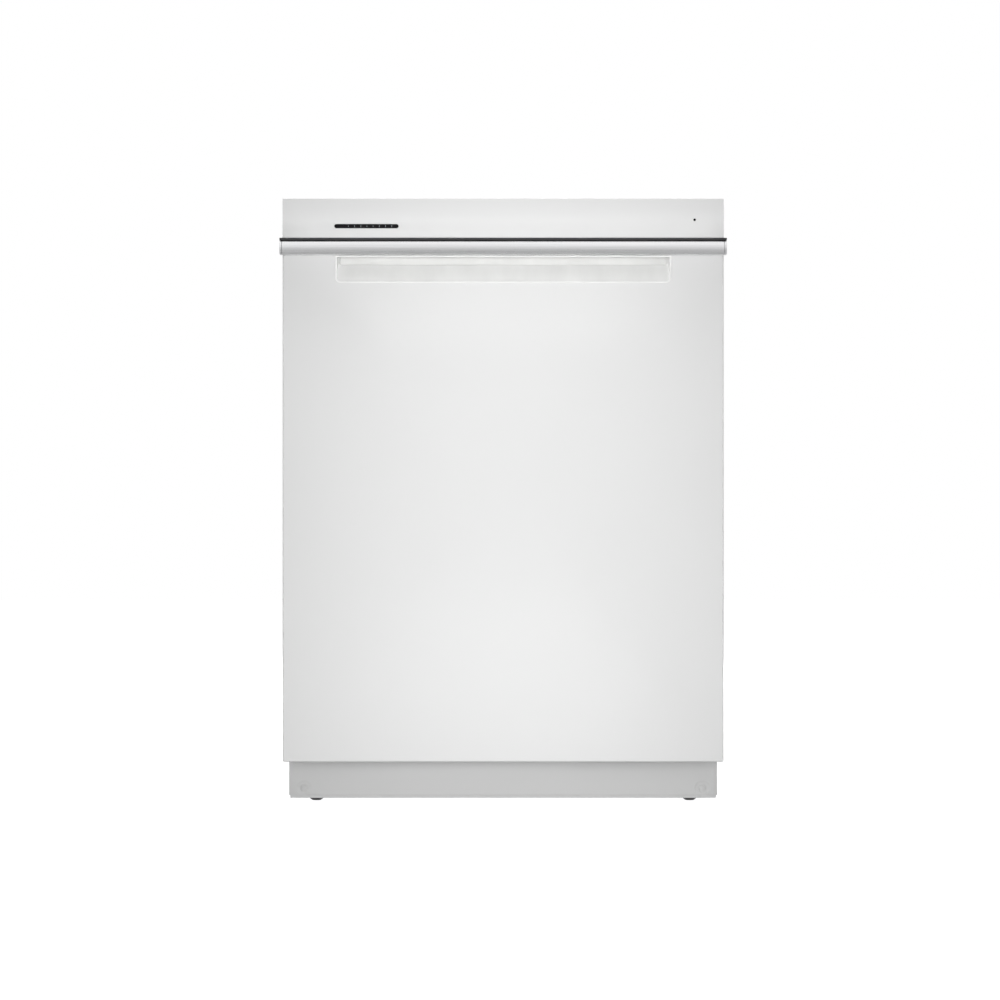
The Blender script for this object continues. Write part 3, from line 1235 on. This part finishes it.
for side in SIDES:
    for end in ("front", "rear"):
        node = f"rack_wheel_{end}_{side}"
        lo, hi = node_box(node)
        at = (lo + hi) / 2
        r, w = (hi.z - lo.z) / 2, (hi.x - lo.x) / 2
        tyre = [(r - 3.6, -w), (r - 1.2, -w), (r, -w + 1.6), (r, w - 1.6), (r - 1.2, w), (r - 3.6, w)]
        wheel = Shape().lathe(tyre + [(r - 4.2, 0)], at, "X", 56)
        wheel.lathe([(3.8, -w), (6.8, -w), (7.2, -w + 0.6), (7.2, w - 0.6), (6.8, w), (3.8, w)], at, "X", 36)
        wheel.lathe([(6.6, -0.9), (r - 3.8, -0.9), (r - 3.8, 0.9), (6.6, 0.9)], at, "X", 56)
        wheel.blocks(circle(6), (-w + 1.4, -0.9, 6.6), (w - 1.4, 0.9, r - 3.8), at, "X")
        stands_for(wheel.object(f"spoked_wheel_{end}_{side}", GREY, bevel=0.3, segments=1), node)

upper_lo, upper_hi = node_box("upper_rack")
UPPER = {"half": 252, "front": upper_lo.y, "back": 258, "bottom": 478, "top": upper_hi.z}
rack = wire_rack(Shape(), **UPPER, across=14, along=13, mid=(UPPER["top"] - 46,))
floor_z = UPPER["bottom"] + WIRE
for row, x in enumerate((-172, -112, -52, 8, 68, 128, 188)):
    for k in range(9):
        tine(rack, x, UPPER["front"] + 62 + 42 * k, floor_z, 56 if row % 2 else 44, 3)
    rack.wire([(x, UPPER["front"] + 6, floor_z), (x, UPPER["back"] - 6, floor_z)], WIRE, 8)
stands_for(rack.object("upper_rack_wires", RACK_COAT, sharp=60), "upper_rack")

runners = Shape()
beam = [(262.5, 553.6), (264.5, 553), (266.5, 553.6), (266.5, 556.5), (265, 557), (265, 559.6)]
beam += [(266.5, 560), (266.5, 562.4), (264.5, 563), (262.5, 562.4)]
for sign in SIDES.values():
    runners.prism([(sign * a, b) for a, b in beam], UPPER["front"], UPPER["back"], "xz")
    low, high = sorted((sign * 249, sign * 263))
    for k in range(4):
        y = UPPER["front"] + 50 + 120 * k
        for z in (554.5, 559.5):
            runners.block((low, y - 12, z), (high, y + 12, z + 2))
rides_with(runners.object("upper_rack_runners", STEEL_Y, bevel=0.25), "upper_rack")

rollers = Shape()
roller = [(0, 266.3), (4.6, 266.3), (4.95, 266.8), (4.95, 268.4), (4.6, 268.9), (1.6, 269), (0, 269)]
for sign in SIDES.values():
    for k in range(8):
        rollers.lathe([(r, sign * h) for r, h in roller], (0, UPPER["front"] + 12 + 62 * k, 558), "X", 28)
rides_with(rollers.object("runner_rollers", LIGHT_GREY), "upper_rack")

duct = rounded((-9, 464.2), (9, 477.8), 5.5, 6)
pipe = Shape().prism(duct, CENTRE_Y - 9, 250, "xz")
mouth = [(0, 246), (8.8, 246), (8.8, 252), (6.6, 253), (6.6, 257), (8, 258), (8, 261), (5.5, 261)]
mouth += [(5.5, 255), (0, 255)]
pipe.lathe([(r * 0.76, y) for r, y in mouth], (0, 0, 471), "Y", 32)
stub = [(0, 466), (5, 466), (5, 447), (4.6, 446), (4.6, 443), (5, 442.4), (5, 440.8), (4.2, 440), (0, 440)]
pipe.lathe(stub, (0, CENTRE_Y, 0), segments=28)
for y in (70, 150, 230):
    pipe.block((-13, y - 5, 474), (13, y + 5, 480.6))
rides_with(pipe.object("upper_feed_duct", GREY, bevel=0.5), "upper_rack")

handle = rounded((-80, UPPER["top"] - 24), (80, UPPER["top"] - 1), 8, 6)
grip = Shape().prism(handle, UPPER["front"] + 0.2, UPPER["front"] + 6, "xz")
rides_with(grip.object("upper_rack_grip", GREY, bevel=1.2, segments=3), "upper_rack")

# ---------------------------------------------------------------- cutlery basket

basket = Shape()
bar_w, wall = 2.2, 2.5


def lattice(shape, start, end, low, high, along, at):
    """A basket wall: a rim, a skirting, a belt and slats between.

    It runs along X if along is 0 and along Y if it is 1, and at is its place on the other axis.
    """

    def slab(a0, a1, z0, z1, thick=wall):
        lo, hi = [0, 0, z0], [0, 0, z1]
        lo[along], hi[along] = a0, a1
        lo[1 - along], hi[1 - along] = at - thick / 2, at + thick / 2
        shape.block(lo, hi)

    slab(start, end, high - 9, high)
    slab(start, end, low, low + 7)
    slab(start, end, (low + high) / 2 - 2, (low + high) / 2 + 2)
    count = max(2, round((end - start) / 8.6))
    for k in range(count + 1):
        a = start + bar_w / 2 + (end - start - bar_w) * k / count
        slab(a - bar_w / 2, a + bar_w / 2, low + 2, high - 2, wall - 0.3)


x0, x1, y0, y1 = basket_lo.x, basket_hi.x, basket_lo.y, basket_hi.y
for x in (x0 + wall / 2, x1 - wall / 2):
    lattice(basket, y0, y1, basket_lo.z, basket_hi.z, 1, x)
for k in range(5):
    lattice(basket, x0 + 0.5, x1 - 0.5, basket_lo.z, basket_hi.z, 0, y0 + wall / 2 + (y1 - y0 - wall) * k / 4)
for k in range(9):
    x = x0 + 4 + (x1 - x0 - 8) * k / 8
    basket.block((x - 1.2, y0 + 1, basket_lo.z), (x + 1.2, y1 - 1, basket_lo.z + 2.2))
for k in range(27):
    y = y0 + 4 + (y1 - y0 - 8) * k / 26
    basket.block((x0 + 1, y - 1.2, basket_lo.z + 0.2), (x1 - 1, y + 1.2, basket_lo.z + 2.4))
middle_y, middle_x = (y0 + y1) / 2, (x0 + x1) / 2
hoop = [(middle_x, y, z) for y, z in arc((middle_y, basket_hi.z - 6), 34, 0, 180, 24)]
basket.wire(hoop, 3.4, 12)
stands_for(basket.object("basket_lattice", GREY, bevel=0.35, segments=1, sharp=50), "cutlery_basket")

# ---------------------------------------------------------------- toe kick and feet

kick_lo, kick_hi = node_box("toe_kick_panel")
kick = Shape().block(kick_lo, (kick_hi.x, kick_lo.y + 1.3, kick_hi.z))
for sign in SIDES.values():
    xs = sorted((sign * (kick_hi.x - 1.3), sign * kick_hi.x))
    kick.block((xs[0], kick_lo.y + 0.6, kick_lo.z), (xs[1], kick_hi.y, kick_hi.z))
kick = stands_for(kick.object("toe_kick_sheet", KICK_WHITE, bevel=0.45, segments=3), "toe_kick_panel")
screws = {}
for side in SIDES:
    node = f"toe_kick_screw_{side}"
    centre = node_centre(node)
    screws[side] = (centre.x, node_box(node)[0].y, centre.z)
DISH = 10.5  # radius of the shallow dish pressed round each screw
hole = [(0, -1), (DISH, -1), (DISH, 2), (0, 2)]
dish = [(DISH, 0), (DISH - 0.5, 0.1), (DISH - 1.7, 0.55), (DISH - 2.3, 0.65), (2.6, 0.65)]
dish += [(2.6, 1.3), (DISH - 2, 1.3), (DISH, 1.1)]
dishes = Shape()
for x, y, z in screws.values():
    carve(kick, Shape().lathe(hole, (x, kick_lo.y, z), "Y", 64))
    dishes.lathe(dish, (x, kick_lo.y, z), "Y", 64)
rides_with(dishes.object("toe_kick_dishes", KICK_WHITE, sharp=50), "toe_kick_panel")
refined("toe_kick_lower", KICK_WHITE, 0.3, 2)

for side, (x, y, z) in screws.items():
    washer = [(0, 0.9), (4.2, 0.9), (4.6, 1.2), (4.6, 2.2), (4.2, 2.6), (0, 2.6)]
    head = Shape().lathe(washer, (x, y, z), "Y", 40)
    head.prism(hexagon((x, z), 3.6), y + 0.25, y + 1.2, "xz")
    head.lathe([(0, 0), (2.6, 0), (3.0, 0.3), (0, 0.3)], (x, y, z), "Y", 40)
    stem = threaded(Shape(), (0, 0), 2.2, 2.4, 20, 1.4, 0.45, 14)
    head.merge(stem.move(Matrix.Translation((x, y, z)) @ Matrix.Rotation(-math.pi / 2, 4, "X")))
    stands_for(head.object(f"hex_screw_{side}", KICK_WHITE, bevel=0.12), f"toe_kick_screw_{side}")

for row in ("front", "rear"):
    for side in SIDES:
        node = f"levelling_foot_{row}_{side}"
        lo, hi = node_box(node)
        at = ((lo.x + hi.x) / 2, (lo.y + hi.y) / 2, 0)
        pad = (hi.x - lo.x) / 2
        profile = [(0, 0), (pad - 4.2, 0), (pad - 3.6, 0.3), (pad - 0.4, 2.8), (pad, 3.4), (pad, 6.2)]
        foot = Shape().lathe(profile + [(pad - 0.8, 7), (0, 7)], at)
        foot.blocks(circle(24), (pad - 1.2, -0.45, 3.2), (pad - 0.02, 0.45, 6.4), at)
        foot.prism(hexagon(at, 7.75), 6.8, 9.4, "xy")
        threaded(foot, at, 5, 9, hi.z)
        stands_for(foot.object(f"foot_{row}_{side}", BLACK_STEEL, bevel=0.15), node)

# ---------------------------------------------------------------- studio


def glow(name, bands=None, strength=1.0):
    """A plain emitter. Bands are (height over radius, grey) pairs that make a vertical gradient on a dome."""
    n = Nodes(name)
    out = n.tree.nodes["Material Output"]
    light = n.add("ShaderNodeEmission")
    light.inputs["Strength"].default_value = strength
    if bands:
        direction = n.add("ShaderNodeVectorMath", operation="NORMALIZE")
        n.link(n.coords, direction.inputs[0])
        split = n.add("ShaderNodeSeparateXYZ")
        n.link(direction.outputs[0], split.inputs[0])
        ramp = n.add("ShaderNodeValToRGB")
        n.link(n.between(split.outputs["Z"], 0, 1, (-1, 1)), ramp.inputs["Fac"])
        elements = ramp.color_ramp.elements
        while len(elements) < len(bands):
            elements.new(0.5)
        for element, (height, grey) in zip(elements, bands):
            element.position = (height + 1) / 2
            element.color = (grey, grey, grey, 1)
        n.link(ramp.outputs["Color"], light.inputs["Color"])
    n.link(light.outputs[0], out.inputs["Surface"])
    return n.material


def seen_by(obj, camera=False, glossy=False):
    obj.active_material.cycles.emission_sampling = "NONE"
    obj.visible_camera = camera
    obj.visible_glossy = glossy
    obj.visible_diffuse = obj.visible_transmission = obj.visible_volume_scatter = obj.visible_shadow = False
    return obj


def dome(name, radius, material):
    turns = [math.pi * k / 24 for k in range(25)]
    profile = [(radius * math.sin(t), -radius * math.cos(t)) for t in turns]
    return Shape().lathe(profile, (0, 0, 0), segments=48).object(name, material, sharp=180)


def area_light(name, at, target, size, power):
    light = bpy.data.lights.new(name, "AREA")
    light.shape = "RECTANGLE"
    light.size, light.size_y = size
    light.energy = power
    obj = bpy.data.objects.new(name, light)
    bpy.context.scene.collection.objects.link(obj)
    obj.location = at
    obj.rotation_euler = (Vector(target) - Vector(at)).to_track_quat("-Z", "Y").to_euler()
    obj.visible_camera = obj.visible_glossy = False
    return obj


def pale_floor(name):
    """Nearly white, so that only a faint shadow shows where the machine stands."""
    n = Nodes(name)
    tone = n.tint(n.between(n.noise(2, 2), 0, 1), (0.518, 0.518, 0.518), (0.52, 0.52, 0.52))
    n.link(tone, n.shader.inputs["Emission Color"])
    rough = n.between(n.noise(5, 2), 0.9, 0.96)
    return n.finish(tone, rough, None, Emission_Strength=1.85, Specular_IOR_Level=0.0)


FLOOR_HALF, BACKDROP, MIRRORED = 9000, 16000, 12000  # half the floor's side, and the radii of both domes
SKY = [(-1, 0.5), (-0.6, 0.57), (-0.2, 0.7), (0.0, 0.8), (0.45, 0.98), (0.75, 1.13), (1.0, 1.15)]

corners = [(x * FLOOR_HALF, y * FLOOR_HALF, 0) for x, y in ((-1, -1), (1, -1), (1, 1), (-1, 1))]
ground = Shape().faces(corners, [(0, 1, 2, 3)])
seen_by(ground.object("studio_floor", pale_floor("studio_floor")), camera=True)
seen_by(dome("studio_backdrop", BACKDROP, glow("studio_backdrop")), camera=True)
seen_by(dome("studio_reflections", MIRRORED, glow("studio_reflections", SKY)), glossy=True)

world = bpy.data.worlds.new("studio")
world.use_nodes = True
world.node_tree.nodes["Background"].inputs["Color"].default_value = (1, 1, 1, 1)
world.node_tree.nodes["Background"].inputs["Strength"].default_value = 0.15
bpy.context.scene.world = world
bpy.context.scene.view_settings.view_transform = "Standard"

area_light("key", (0, -5.6, 0.3), (0, 0, 0.42), (1.6, 0.5), 38)
area_light("lift_high", (0.015, -1.0, 0.72), (0.015, 0, 0.75), (0.45, 0.12), 3.5)
area_light("lift_low", (0.015, -1.0, 0.04), (0.015, 0, 0.04), (0.6, 0.4), 3.3)
area_light("corner_left", (-0.55, -0.9, 0.04), (-0.29, -0.3, 0.06), (0.12, 0.06), 0.4)
area_light("corner_right", (0.55, -0.9, 0.04), (0.29, -0.3, 0.06), (0.12, 0.06), 0.4)
area_light("bar_bounce", (0, -0.312, 0.787), (0, 0, 0.787), (0.6, 0.003), 0.024)
area_light("pocket_bounce", (0, -0.286, 0.757), (0, 0, 0.757), (0.44, 0.002), 0.018)
area_light("top", (0, 0.3, 3.2), (0, 0.1, 0), (2.5, 2.5), 70)
area_light("side_left", (-3.0, 1.0, 1.3), (0, 0.1, 0.4), (1.5, 1.5), 55)
area_light("side_right", (3.0, 1.0, 1.3), (0, 0.1, 0.4), (1.5, 1.5), 45)
area_light("rear", (0.6, 3.6, 1.5), (0, 0.2, 0.4), (1.5, 1.5), 60)

camera = bpy.data.objects.new("camera", bpy.data.cameras.new("camera"))
bpy.context.scene.collection.objects.link(camera)
camera.location = (-0.0043, -4.789, 0.4215)  # the photo's viewpoint, level with the middle of the machine
camera.rotation_euler = (math.pi / 2, 0, 0)
camera.data.sensor_width = 36
camera.data.lens = 117.9
bpy.context.scene.camera = camera
